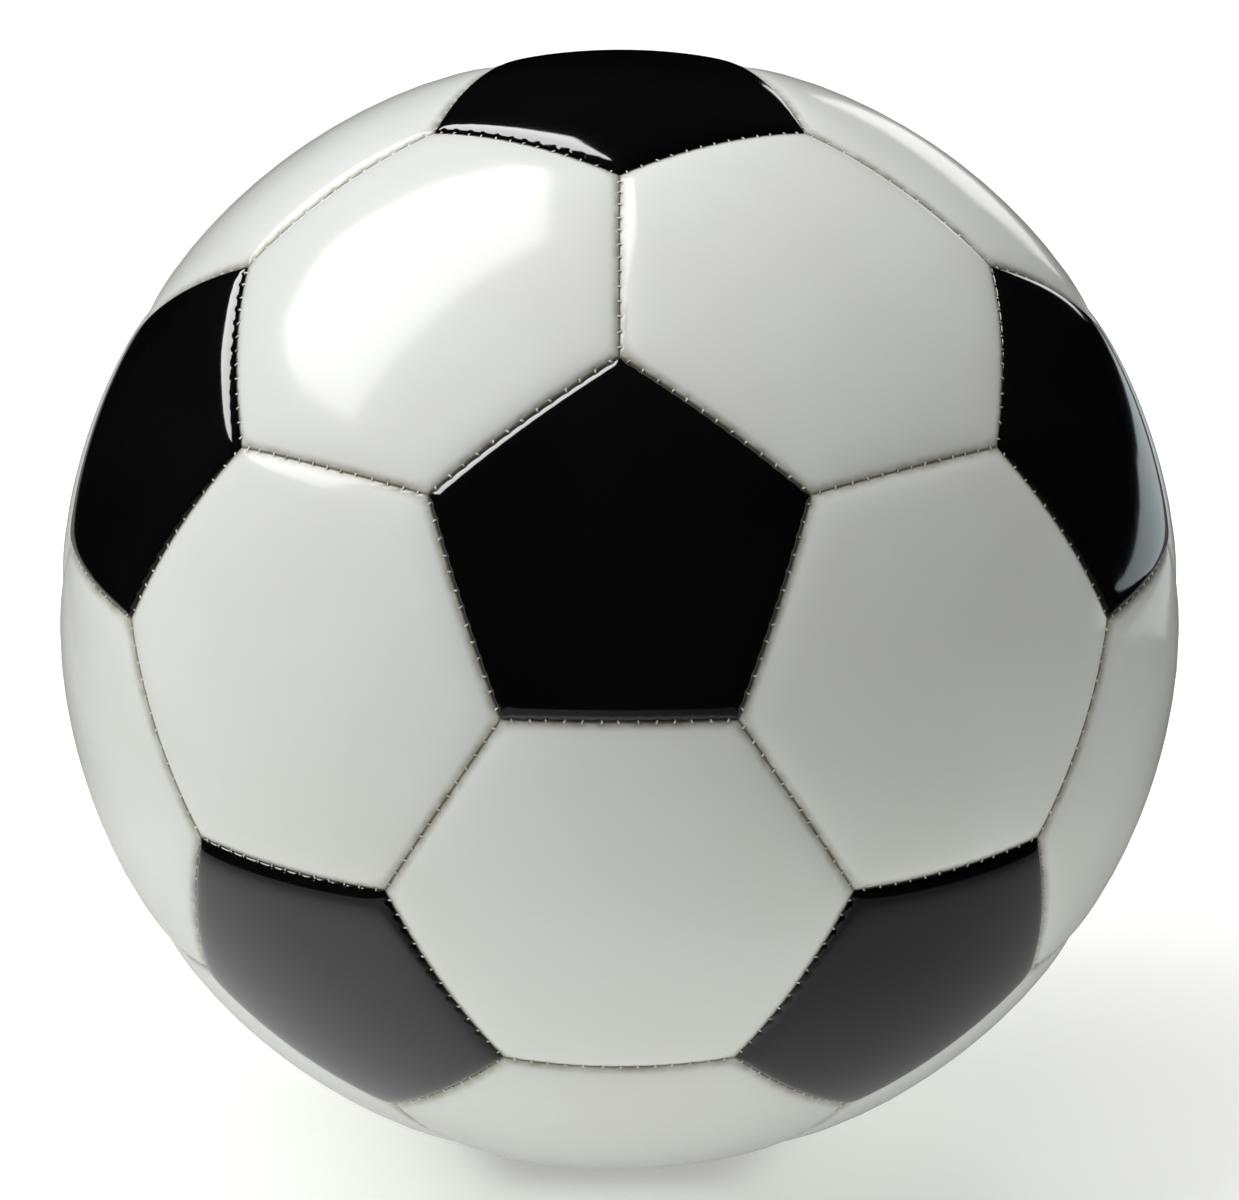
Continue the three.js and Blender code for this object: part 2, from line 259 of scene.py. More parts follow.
def hexagon_patterns():
    """Each hexagon's centre and its corners' names in order. A hexagon lies between three pentagons."""
    patterns = []
    for first in range(PENTAGON_COUNT):
        for second in neighbours(first):
            for third in set(neighbours(first)) & set(neighbours(second)):
                if first < second < third:
                    group = (first, second, third)
                    centre = unit(PENTAGONS[list(group)].sum(axis=0))
                    corners = [(near, far) for near in group for far in group if near != far]
                    patterns.append((centre, anticlockwise(centre, corners)))
    return patterns


def nearest(directions, node):
    """The number of the direction that a CAD node lies along."""
    low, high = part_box(node)
    middle = unit((np.array(low) + np.array(high)) / 2)
    return int(np.argmax(np.array(directions) @ middle))


# ------------------------------------------------------------------ seams and stitches


class Seam:
    """The seam between two corners, measured from the first: along it, and away from it to its left."""

    def __init__(self, first, second):
        self.start, end = seam_corner(*first), seam_corner(*second)
        self.inward = unit(np.cross(self.start, end))
        self.ahead = np.cross(self.inward, self.start)
        self.angle = math.acos(self.start @ end)
        self.length = CROWN_RADIUS * self.angle
        self.stitches = self.stitch_places(first, second)

    def stitch_places(self, first, second):
        """Where the stitches are, uneven as in handwork and the same from either end."""
        ends = sorted((first, second))
        random = np.random.default_rng([number for name in ends for number in name])
        places = np.linspace(FIRST_STITCH, self.length - FIRST_STITCH, STITCHES_PER_SEAM)
        places += random.uniform(-STITCH_JITTER, STITCH_JITTER, STITCHES_PER_SEAM)
        return places if ends[0] == first else self.length - places[::-1]

    def away(self, directions):
        return CROWN_RADIUS * np.arcsin(directions @ self.inward)

    def along(self, directions):
        return CROWN_RADIUS * np.arctan2(directions @ self.ahead, directions @ self.start)

    def direction(self, along, away):
        """The unit vector at a distance along the seam and a distance to its left."""
        turn, tilt = along / CROWN_RADIUS, away / CROWN_RADIUS
        on_seam = math.cos(turn) * self.start + math.sin(turn) * self.ahead
        return math.cos(tilt) * on_seam + math.sin(tilt) * self.inward


def panel_seams(corners):
    return [Seam(corner, corners[(index + 1) % len(corners)]) for index, corner in enumerate(corners)]


# ------------------------------------------------------------------ a panel's face


def bell(values, width):
    return np.exp(-((values / width) ** 2))


def seam_distances(seams, directions):
    """The distance to the nearest seam, blended so that it turns smoothly at the corners."""
    away = np.array([np.maximum(seam.away(directions), LEAST_DISTANCE) for seam in seams])
    return (away**-CORNER_ROUNDING).sum(axis=0) ** (-1 / CORNER_ROUNDING)


def face_drop(seams, distances):
    """How far the face lies below the crown. Only the pentagons have five seams."""
    drops = PENTAGON_DROPS if len(seams) == 5 else HEXAGON_DROPS
    return sum(depth * np.exp(-distances / reach) for depth, reach in drops)


def stitch_drop(seams, directions):
    """How far the stitches pull the face in: a small hole at each, and a pucker into the panel."""
    drop = np.zeros(len(directions))
    for seam in seams:
        along, away = seam.along(directions), seam.away(directions)
        for place in seam.stitches:
            drop += HOLE_DEPTH * bell(along - place, HOLE_WIDTH) * bell(away - HOLE_INSET, HOLE_WIDTH)
            drop += PUCKER_DEPTH * bell(along - place, PUCKER_LENGTH) * bell(away, PUCKER_REACH)
    return drop


def unevenness(directions, seed):
    """A slow rise and fall over a face, from a few waves in directions of their own."""
    random = np.random.default_rng(seed)
    waves = unit(random.normal(size=(UNEVENNESS_WAVES, 3))) * CROWN_RADIUS * math.tau / UNEVENNESS_LENGTH
    starts = random.uniform(0, math.tau, UNEVENNESS_WAVES)
    return UNEVENNESS * np.sin(directions @ waves.T + starts).mean(axis=1)


def face_radii(seams, directions, seed):
    """How far from the ball's centre the face lies. It is flat where the ball rests on the floor."""
    distances = seam_distances(seams, directions)
    freedom = 1 - np.exp(-distances / SEAM_HOLD)
    radii = CROWN_RADIUS - face_drop(seams, distances) - stitch_drop(seams, directions)
    radii += freedom * unevenness(directions, seed)
    return np.minimum(radii, FLOOR_HEIGHT / np.minimum(directions[:, 2], FLOOR_HEIGHT / CROWN_RADIUS))


# ------------------------------------------------------------------ mesh building


def ring_directions(centre, seams, inset, steps):
    """Unit vectors round a panel at one distance from its seams, starting at its first corner."""
    height = math.sin(inset / CROWN_RADIUS)
    corners = []
    for seam in seams:
        towards = unit(centre - (centre @ seam.start) * seam.start)
        rise = height / (seam.inward @ towards)
        corners.append(math.sqrt(1 - rise**2) * seam.start + rise * towards)
    ring = []
    for index, seam in enumerate(seams):
        ends = (corners[index], corners[(index + 1) % len(seams)])
        first, last = (math.atan2(end @ seam.ahead, end @ seam.start) for end in ends)
        turns = np.linspace(first, last, steps, endpoint=False)[:, None]
        on_seam = np.cos(turns) * seam.start + np.sin(turns) * seam.ahead
        ring.append(math.sqrt(1 - height**2) * on_seam + height * seam.inward)
    return np.concatenate(ring)


def circle_directions(centre, ring, radius):
    """Unit vectors on a circle about the centre, each on the same bearing as the ring's point."""
    bearings = unit(ring - (ring @ centre)[:, None] * centre)
    angle = math.asin(radius / CROWN_RADIUS)
    return math.cos(angle) * centre + math.sin(angle) * bearings


def bridge(near, near_count, far, far_count):
    """Triangles between a ring and the next one inwards, which has as many points or several times fewer."""
    ratio = near_count // far_count
    faces = []
    for step in range(near_count):
        a, a_next = near + step, near + (step + 1) % near_count
        b, b_next = far + step // ratio, far + (step // ratio + 1) % far_count
        if step % ratio == ratio // 2:
            faces.append((a, b_next, b))
        faces.append((a, a_next, b if step % ratio < ratio // 2 else b_next))
    return faces


class RingMesh:
    """Points in rings, each joined to the one before it, with the direction and radius of every point."""

    def __init__(self):
        self.directions, self.radii, self.faces, self.kinds = [], [], [], []
        self.count = 0

    def add(self, directions, radii):
        start = self.count
        self.directions.append(directions)
        self.radii.append(np.broadcast_to(radii, len(directions)))
        self.count += len(directions)
        return start, len(directions)

    def join(self, near, far, kind):
        faces = bridge(*near, *far)
        self.faces += faces if kind == "face" else [face[::-1] for face in faces]
        self.kinds += [kind] * len(faces)

    def close(self, ring, middle, kind):
        start, count = ring
        faces = [(start + step, start + (step + 1) % count, middle[0]) for step in range(count)]
        self.faces += faces if kind == "face" else [face[::-1] for face in faces]
        self.kinds += [kind] * len(faces)


def face_outlines(centre, seams, hole_radius):
    """The rings of points on a face. None lies inside the rim of the valve's hole."""
    in_radius = seams[0].away(centre[None])[0]
    rim_reach = hole_radius + VALVE_RIM[0][0] * MM if hole_radius else 0
    plan = [(inset * MM, steps) for inset, steps in EDGE_RINGS]
    middle = [(share * in_radius, steps) for share, steps in MIDDLE_RINGS]
    plan += [(inset, steps) for inset, steps in middle if in_radius - inset > rim_reach]
    return [ring_directions(centre, seams, inset, steps) for inset, steps in plan]


def lining_outlines(centre, seams):
    """The rings of points on the lining."""
    in_radius = seams[0].away(centre[None])[0]
    plan = [(FLANGE_THICKNESS, LINING_EDGE_STEPS)]
    plan += [(share * in_radius, steps) for share, steps in LINING_RINGS]
    return [ring_directions(centre, seams, inset, steps) for inset, steps in plan]


def flange_rings(centre, seams):
    """The rings of points round the turned-in edge, with the radius of each."""
    beside = ring_directions(centre, seams, SEAM_GAP, FLANGE_STEPS)
    behind = ring_directions(centre, seams, FLANGE_THICKNESS, FLANGE_STEPS)
    return (beside, FLANGE_MIDDLE_RADIUS), (beside, FLANGE_END_RADIUS), (behind, FLANGE_END_RADIUS)


def panel_mesh(centre, seams, seed, hole_radius):
    """One closed solid: the face, the turned-in edge and the lining, with the valve's hole if it has one."""
    mesh = RingMesh()
    outlines = face_outlines(centre, seams, hole_radius)
    rings = [mesh.add(outline, face_radii(seams, outline, seed)) for outline in outlines]
    linings = lining_outlines(centre, seams)
    under = [rings[0]]
    under += [mesh.add(outline, radius) for outline, radius in flange_rings(centre, seams)]
    under += [mesh.add(outline, LINING_RADIUS) for outline in linings]

    if hole_radius:
        for gap, drop in VALVE_RIM:
            circle = circle_directions(centre, outlines[-1], hole_radius + gap * MM)
            rings.append(mesh.add(circle, face_radii(seams, circle, seed) - drop * MM))
        circle = circle_directions(centre, linings[-1], hole_radius)
        under.append(mesh.add(circle, LINING_RADIUS))
    for near, far in zip(rings, rings[1:]):
        mesh.join(near, far, "face")
    for near, far in zip(under, under[1:]):
        mesh.join(near, far, "lining")
    if hole_radius:
        mesh.join(rings[-1], under[-1], "face")
    else:
        mesh.close(rings[-1], mesh.add(centre[None], face_radii(seams, centre[None], seed)), "face")
        mesh.close(under[-1], mesh.add(centre[None], LINING_RADIUS), "lining")
    return mesh


def new_object(name, points, faces, materials):
    mesh = bpy.data.meshes.new(name)
    mesh.from_pydata(np.asarray(points).tolist(), [], faces)
    for material in materials:
        mesh.materials.append(material)
    mesh.polygons.foreach_set("use_smooth", [True] * len(mesh.polygons))
    piece = bpy.data.objects.new(name, mesh)
    bpy.context.scene.collection.objects.link(piece)
    return piece


def unfold(mesh, centre, seams, directions, radii, kinds):
    """UVs for baking: the face laid flat in one half of a square, the lining and the edge in the other."""
    east = seams[0].ahead
    north = np.cross(centre, east)
    angle = np.arccos(np.clip(directions @ centre, -1, 1))
    bearing = np.stack([directions @ east, directions @ north], axis=1)
    bearing /= np.maximum(np.linalg.norm(bearing, axis=1, keepdims=True), TINY)
    reach = angle * CROWN_RADIUS
    fall = np.where(angle > angle.max() * EDGE_START, CROWN_RADIUS - radii, 0)
    face_uv = bearing * reach[:, None]
    lining_uv = bearing * (reach + fall)[:, None]
    size = LAYOUT_MARGIN * np.abs(lining_uv).max()
    face_uv = face_uv / size * HALF_WIDTH + LEFT_MIDDLE
    lining_uv = lining_uv / size * HALF_WIDTH + RIGHT_MIDDLE
    corner_points = np.empty(len(mesh.loops), int)
    mesh.loops.foreach_get("vertex_index", corner_points)
    on_face = np.repeat(np.array(kinds) == "face", 3)[:, None]
    uv = np.where(on_face, face_uv[corner_points], lining_uv[corner_points])
    mesh.uv_layers.new(name="OFBake").data.foreach_set("uv", uv.ravel())


def stand_for(piece, node):
    """The piece stands for a CAD node and rides on the ball."""
    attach(piece, "root")
    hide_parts(node)


def make_panel(name, pattern, cover, seed, hole_radius=0):
    centre, corners = pattern
    seams = panel_seams(corners)
    rings = panel_mesh(centre, seams, seed, hole_radius)
    directions, radii = np.concatenate(rings.directions), np.concatenate(rings.radii)
    piece = new_object(f"{name}_sewn", directions * radii[:, None], rings.faces, [cover, LINING])
    is_lining = [kind == "lining" for kind in rings.kinds]
    piece.data.polygons.foreach_set("material_index", np.array(is_lining, int))
    piece.data.polygons.foreach_set("use_smooth", np.logical_not(is_lining))
    distance = piece.data.attributes.new("seam_distance", "FLOAT", "POINT")
    distance.data.foreach_set("value", seam_distances(seams, directions) / MM)
    unfold(piece.data, centre, seams, directions, radii, rings.kinds)
    piece.data.update()
    stand_for(piece, name)


# ------------------------------------------------------------------ thread


def tube(path, radius, sides, upward):
    """A closed tube along a path of points, as points and faces."""
    path = np.asarray(path)
    ahead = unit(np.gradient(path, axis=0))
    across = unit(np.cross(ahead, upward))
    over = np.cross(across, ahead)
    turns = np.arange(sides) * math.tau / sides
    rim = np.cos(turns)[None, :, None] * across[:, None] + np.sin(turns)[None, :, None] * over[:, None]
    points = (path[:, None] + radius * rim).reshape(-1, 3)
    faces = []
    for step in range(len(path) - 1):
        for side in range(sides):
            a, b = step * sides + side, step * sides + (side + 1) % sides
            faces.append((a, a + sides, b + sides, b))
    last = (len(path) - 1) * sides
    faces.append(tuple(range(sides)))
    faces.append(tuple(last + side for side in reversed(range(sides))))
    return points, faces


def stitch_tube(seam, place, random):
    """One stitch, a short arch of thread over the groove that goes down into a hole on each side."""
    slant = random.choice([-1, 1]) * THREAD_SLANT * random.uniform(*SLANT_SPREAD)
    path = []
    for away, radius in STITCH_PATH:
        along = place + slant * away / STITCH_PATH[-1][0]
        path.append(radius * MM * seam.direction(along, away * MM))
    return tube(path, THREAD_RADIUS, THREAD_SIDES, seam.direction(place, 0))


def hidden_tube(seam, first, last):
    """The thread's length between the turned-in edges."""
    places = np.linspace(first, last, RUN_STEPS)
    path = [RUN_RADIUS * seam.direction(place, 0) for place in places]
    return tube(path, THREAD_RADIUS, THREAD_SIDES, seam.direction((first + last) / 2, 0))


def make_thread(name, corners, seed):
    """The thread of one run: all round a pentagon, and out from each corner along half of the next seam."""
    random = np.random.default_rng(seed)
    tubes = []
    for seam in panel_seams(corners):
        tubes += [stitch_tube(seam, place, random) for place in seam.stitches]
        tubes.append(hidden_tube(seam, 0, seam.length))
    for near, far in corners:
        seam = Seam((near, far), (far, near))
        places = [place for place in seam.stitches if place < seam.length / 2]
        tubes += [stitch_tube(seam, place, random) for place in places]
        tubes.append(hidden_tube(seam, 0, seam.length / 2 - THREAD_RADIUS))
    points, faces = [], []
    for tube_points, tube_faces in tubes:
        start = sum(map(len, points))
        points.append(tube_points)
        faces += [tuple(start + point for point in face) for face in tube_faces]
    piece = new_object(f"{name}_stitches", np.concatenate(points), faces, [THREAD])
    stand_for(piece, name)


# ------------------------------------------------------------------ bladder and valve


def lathe(outline, axis):
    """A closed solid turned about an axis from a loop of (across, height) points."""
    east = unit(np.cross(axis, [1, 0, 0]))
    north = np.cross(axis, east)
    turns = np.arange(LATHE_SEGMENTS) * math.tau / LATHE_SEGMENTS
    bearings = np.cos(turns)[:, None] * east + np.sin(turns)[:, None] * north
    points, rings = [], []
    for across, height in outline:
        if across == 0:
            rings.append([len(points)] * LATHE_SEGMENTS)
            points.append(height * axis)
        else:
            rings.append(list(range(len(points), len(points) + LATHE_SEGMENTS)))
            points += list(across * bearings + height * axis)
    faces = []
    for near, far in zip(rings, rings[1:] + rings[:1]):
        for step in range(LATHE_SEGMENTS):
            after = (step + 1) % LATHE_SEGMENTS
            face = tuple(dict.fromkeys((near[step], near[after], far[after], far[step])))
            if len(face) > 2:
                faces.append(face)
    return points, faces


def arc(radius, first_across, last_angle, count):
    """Points along a sphere, from a distance off the valve's axis to an angle from it."""
    angles = np.linspace(math.asin(first_across / radius), last_angle, count)
    return [(radius * math.sin(angle), radius * math.cos(angle)) for angle in angles]


def bladder_outline():
    """The bladder's wall from the valve to the far side, where both faces end on the axis."""
    outer = arc(BLADDER_RADIUS, BLADDER_HOLE_RADIUS, math.pi, BLADDER_ARC_POINTS)
    inner = arc(BLADDER_RADIUS - BLADDER_WALL, BLADDER_HOLE_RADIUS, math.pi, BLADDER_ARC_POINTS)
    outer[-1] = (0, -BLADDER_RADIUS)
    inner[-1] = (0, BLADDER_WALL - BLADDER_RADIUS)
    return outer + inner[::-1]


def patch_outline(inner, hole, rim):
    """A round patch that follows the ball's curve, with its rim thinned."""
    outer = inner + PATCH_THICKNESS
    top = arc(outer, hole, math.asin((rim - PATCH_THICKNESS) / outer), PATCH_ARC_POINTS)
    return top + arc(inner, hole, math.asin(rim / inner), PATCH_ARC_POINTS)[::-1]


def insert_mesh(axis):
    """The silicone plug, with the slit in its top that the needle goes through."""
    east = unit(np.cross(axis, [1, 0, 0]))
    north = np.cross(axis, east)
    turns = np.arange(INSERT_SIDES) * math.tau / INSERT_SIDES
    circle = np.stack([np.cos(turns), np.sin(turns)], axis=1)
    slit = circle * [INSERT_SLIT["half_span"], INSERT_SLIT["half_width"]]
    outline = [
        (circle * INSERT_RADIUS, INSERT_TOP - INSERT_LENGTH),
        (circle * INSERT_RADIUS, INSERT_TOP - INSERT_CHAMFER),
        (circle * (INSERT_RADIUS - INSERT_CHAMFER), INSERT_TOP),
        (slit, INSERT_TOP),
        (slit * [1, INSERT_SLIT["floor_share"]], INSERT_TOP - INSERT_SLIT["depth"]),
    ]
    rings = [flat[:, :1] * east + flat[:, 1:] * north + height * axis for flat, height in outline]
    points = np.concatenate(rings)
    faces = []
    for ring in range(len(outline) - 1):
        for step in range(INSERT_SIDES):
            a, b = ring * INSERT_SIDES + step, ring * INSERT_SIDES + (step + 1) % INSERT_SIDES
            faces.append((a, b, b + INSERT_SIDES, a + INSERT_SIDES))
    faces.append(tuple(reversed(range(INSERT_SIDES))))
    faces.append(tuple(range(len(points) - INSERT_SIDES, len(points))))
    return points, faces


def face_outward(piece):
    """Turn every face of a closed piece to look out of it."""
    shape = bmesh.new()
    shape.from_mesh(piece.data)
    bmesh.ops.recalc_face_normals(shape, faces=shape.faces)
    shape.to_mesh(piece.data)
    shape.free()


def make_turned(name, suffix, mesh, material):
    piece = new_object(f"{name}_{suffix}", *mesh, [material])
    face_outward(piece)
    stand_for(piece, name)
    return piece


def make_valve(axis):
    valve_outline = [(across * MM, height * MM) for across, height in VALVE_OUTLINE]
    bladder = make_turned("bladder", "inflated", lathe(bladder_outline(), axis), BUTYL)
    patch = lathe(patch_outline(**BLADDER_PATCH), axis)
    make_turned("bladder_valve_patch", "moulded", patch, BUTYL)
    make_turned("valve_body", "moulded", lathe(valve_outline, axis), VALVE_RUBBER)
    make_turned("valve_insert", "moulded", insert_mesh(axis), SILICONE)
    patch = lathe(patch_outline(**PANEL_PATCH), axis)
    make_turned("valve_panel_patch", "woven", patch, LINING)


# ------------------------------------------------------------------ materials

# The mix node's sockets for colours, by number because those for other values have the same names.
MIX_AMOUNT, MIX_FIRST, MIX_SECOND, MIX_RESULT = 0, 6, 7, 2


class Finish:
    """A node material that is built up from noise, ramps and mixes."""

    def __init__(self, name, **settings):
        self.material = bpy.data.materials.new(name)
        self.material.use_nodes = True
        self.nodes, self.links = self.material.node_tree.nodes, self.material.node_tree.links
        self.shader = self.nodes["Principled BSDF"]
        for socket, value in settings.items():
            self.shader.inputs[socket.replace("_", " ")].default_value = value
        self.position = self.nodes.new("ShaderNodeTexCoord").outputs["Object"]

    def add(self, kind, settings=(), inputs=()):
        node = self.nodes.new(kind)
        for key, value in dict(settings).items():
            setattr(node, key, value)
        for socket, value in dict(inputs).items():
            if isinstance(value, bpy.types.NodeSocket):
                self.links.new(value, node.inputs[socket])
            else:
                node.inputs[socket].default_value = value
        return node

    def noise(self, size, detail=2.0, roughness=0.5):
        """Noise whose features are about this many metres across."""
        inputs = {"Vector": self.position, "Scale": 1 / size, "Detail": detail, "Roughness": roughness}
        return self.add("ShaderNodeTexNoise", inputs=inputs).outputs["Fac"]

    def ramp(self, value, low, high, to_low, to_high):
        """A value carried smoothly from one range to another."""
        inputs = {"Value": value, "From Min": low, "From Max": high, "To Min": to_low, "To Max": to_high}
        settings = {"interpolation_type": "SMOOTHSTEP"}
        return self.add("ShaderNodeMapRange", settings, inputs).outputs["Result"]

    def multiply(self, first, second):
        return self.add("ShaderNodeMath", {"operation": "MULTIPLY"}, {0: first, 1: second}).outputs["Value"]

    def mix(self, amount, first, second):
        """One colour turned into another by an amount from 0 to 1."""
        inputs = {MIX_AMOUNT: amount, MIX_FIRST: first, MIX_SECOND: second}
        return self.add("ShaderNodeMix", {"data_type": "RGBA"}, inputs).outputs[MIX_RESULT]

    def bump(self, height, depth, under=None):
        """Raises the surface by up to this many metres, over another bump if there is one."""
        inputs = {"Height": height, "Distance": depth, "Strength": 1.0}
        if under is not None:
            inputs["Normal"] = under
        return self.add("ShaderNodeBump", inputs=inputs).outputs["Normal"]

    def finish(self, **sockets):
        """Joins the built-up values to the shader's sockets, and gives the material."""
        for socket, value in sockets.items():
            self.links.new(value, self.shader.inputs[socket.replace("_", " ")])
        return self.material


def cover_material(name, colour, mottled, grime_and_shade, grime_and_shade_amount, dirt, gloss):
    """Glossy synthetic leather with fine orange peel, grime and painted shade along the seams and dirt down
    in them.
    """
    coat = {"Coat_Weight": gloss["coat"], "Coat_Roughness": gloss["coat_roughness"]}
    finish = Finish(name, IOR=gloss["ior"], **coat)
    seam = finish.add("ShaderNodeAttribute", {"attribute_name": "seam_distance"}).outputs["Fac"]
    patchy = finish.ramp(finish.noise(GRIME_AND_SHADE_SIZE, detail=4), 0.3, 0.7, 0.45, 1.0)
    # Grime and painted shade: within about 2 mm of a seam the colour turns darker in patches, for grime and
    # for the shade on the shoulders that slope into the seam.
    close = finish.multiply(finish.ramp(seam, *GRIME_AND_SHADE_FADE, grime_and_shade_amount, 0.0), patchy)
    deep = finish.ramp(seam, *DIRT_FADE, DIRT_AMOUNT, 0.0)
    base = finish.mix(finish.ramp(finish.noise(MOTTLE_SIZE), 0.35, 0.65, 0.0, 1.0), colour, mottled)
    scuffs = finish.ramp(finish.noise(SCUFF_SIZE, detail=6, roughness=0.65), 0.5, 0.8, *gloss["roughness"])
    peel = finish.bump(finish.noise(PEEL_SIZE, detail=3), PEEL_DEPTH)
    ripple = finish.bump(finish.noise(RIPPLE_SIZE), RIPPLE_DEPTH, peel)
    shaded = finish.mix(deep, finish.mix(close, base, grime_and_shade), dirt)
    return finish.finish(Base_Color=shaded, Roughness=scuffs, Normal=ripple)


def thread_material():
    """Waxed polyester thread, off-white, with a ply twist and a little grime."""
    finish = Finish("waxed_thread", IOR=1.5, Sheen_Weight=0.15, Sheen_Roughness=0.4)
    grimy = finish.ramp(finish.noise(THREAD_GRIME_SIZE, detail=3), 0.4, 0.75, 0.0, 1.0)
    colour = finish.mix(grimy, (0.86, 0.85, 0.79, 1), (0.42, 0.40, 0.31, 1))
    inputs = {"Vector": finish.position, "Scale": 1 / TWIST_PITCH, "Distortion": 1.0}
    twist = finish.add("ShaderNodeTexWave", {"bands_direction": "DIAGONAL"}, inputs).outputs["Fac"]
    rough = finish.ramp(grimy, 0.0, 1.0, 0.45, 0.7)
    return finish.finish(Base_Color=colour, Roughness=rough, Normal=finish.bump(twist, TWIST_DEPTH))


def lining_material():
    """Cotton and polyester cloth glued behind the foam, in a plain weave."""
    finish = Finish("woven_lining", IOR=1.45, Sheen_Weight=0.3, Sheen_Roughness=0.5)
    threads = []
    for direction in ("X", "Z"):
        inputs = {"Vector": finish.position, "Scale": 1 / WEAVE_PITCH, "Distortion": 0.4}
        wave = finish.add("ShaderNodeTexWave", {"bands_direction": direction}, inputs)
        threads.append(wave.outputs["Fac"])
    weave = finish.multiply(*threads)
    slub = finish.ramp(finish.noise(SLUB_SIZE, detail=4), 0.3, 0.7, 0.0, 1.0)
    colour = finish.mix(slub, (0.70, 0.67, 0.58, 1), (0.55, 0.52, 0.44, 1))
    rough = finish.ramp(weave, 0.0, 1.0, 0.95, 0.8)
    return finish.finish(Base_Color=colour, Roughness=rough, Normal=finish.bump(weave, WEAVE_DEPTH))


def rubber_material(name, colour, bloom, roughness, translucency=0.0):
    """Moulded rubber with a fine matt grain and a faint bloom."""
    finish = Finish(name, IOR=1.52, Subsurface_Weight=translucency, Subsurface_Scale=SILICONE_DEPTH)
    dusty = finish.ramp(finish.noise(BLOOM_SIZE, detail=5), 0.4, 0.75, 0.0, 1.0)
    rough = finish.ramp(dusty, 0.0, 1.0, *roughness)
    grain = finish.bump(finish.noise(GRAIN_SIZE, detail=3), GRAIN_DEPTH)
    return finish.finish(Base_Color=finish.mix(dusty, colour, bloom), Roughness=rough, Normal=grain)


WHITE_COVER = cover_material(
    "white_cover",
    colour=(0.80, 0.815, 0.785, 1),
    mottled=(0.775, 0.785, 0.75, 1),
    # the olive of the grime and painted shade along the white panels' seams
    grime_and_shade=(0.24, 0.225, 0.155, 1),
    grime_and_shade_amount=0.75,
    dirt=(0.16, 0.145, 0.095, 1),
    gloss={"ior": 1.38, "coat": 0.15, "coat_roughness": 0.1, "roughness": (0.15, 0.22)},
)
BLACK_COVER = cover_material(
    "black_cover",
    colour=(0.0022, 0.0022, 0.0026, 1),
    mottled=(0.0034, 0.0034, 0.0038, 1),
    grime_and_shade=(0.004, 0.0038, 0.003, 1),
    grime_and_shade_amount=0.5,
    dirt=(0.002, 0.002, 0.002, 1),
    gloss={"ior": 1.75, "coat": 0.5, "coat_roughness": 0.05, "roughness": (0.09, 0.14)},
)
THREAD = thread_material()
LINING = lining_material()
BUTYL = rubber_material("butyl_rubber", (0.030, 0.030, 0.032, 1), (0.055, 0.055, 0.055, 1), (0.45, 0.6))
VALVE_RUBBER = rubber_material("valve_rubber", (0.022, 0.022, 0.024, 1), (0.05, 0.05, 0.05, 1), (0.4, 0.55))
SILICONE = rubber_material("silicone", (0.60, 0.60, 0.57, 1), (0.50, 0.50, 0.47, 1), (0.3, 0.45), 0.2)

# ------------------------------------------------------------------ assembly


def make_ball():
    pentagons, hexagons = pentagon_patterns(), hexagon_patterns()
    pentagon_centres = [centre for centre, _ in pentagons]
    hexagon_centres = [centre for centre, _ in hexagons]
    for number in range(1, PENTAGON_COUNT + 1):
        name = f"pentagon_panel_{number:02d}"
        index = nearest(pentagon_centres, name)
        make_panel(name, pentagons[index], BLACK_COVER, number)
        make_thread(f"seam_thread_{number:02d}", pentagons[index][1], index)
    for number in range(1, PLAIN_HEXAGON_COUNT + 1):
        name = f"hexagon_panel_{number:02d}"
        pattern = hexagons[nearest(hexagon_centres, name)]
        make_panel(name, pattern, WHITE_COVER, HEXAGON_SEED + number)
    pattern = hexagons[nearest(hexagon_centres, "hexagon_panel_valve")]
    make_panel("hexagon_panel_valve", pattern, WHITE_COVER, HEXAGON_SEED, VALVE_HOLE_RADIUS)
    make_valve(pattern[0])


make_ball()

# ------------------------------------------------------------------ floor, light and camera


def make_sheet(name, points, material):
    sheet = new_object(name, points, [tuple(range(len(points)))], [material])
    return sheet


def rectangle(corners):
    """The four corners of a rectangle, from the lowest and the highest."""
    (left, low), (right, high) = corners
    return (left, low), (right, low), (right, high), (left, high)


def at_height(outline, height):
    return [(*corner, height) for corner in outline]


def lit_finish(name, strength, colour=(1, 1, 1, 1)):
    """A finish that gives light and reflects none."""
    settings = {"Base_Color": (0, 0, 0, 1), "Specular_IOR_Level": 0}
    return Finish(name, Emission_Color=colour, Emission_Strength=strength, **settings)


def show_to_gloss_only(sheet):
    sheet.visible_camera = sheet.visible_diffuse = sheet.visible_shadow = False


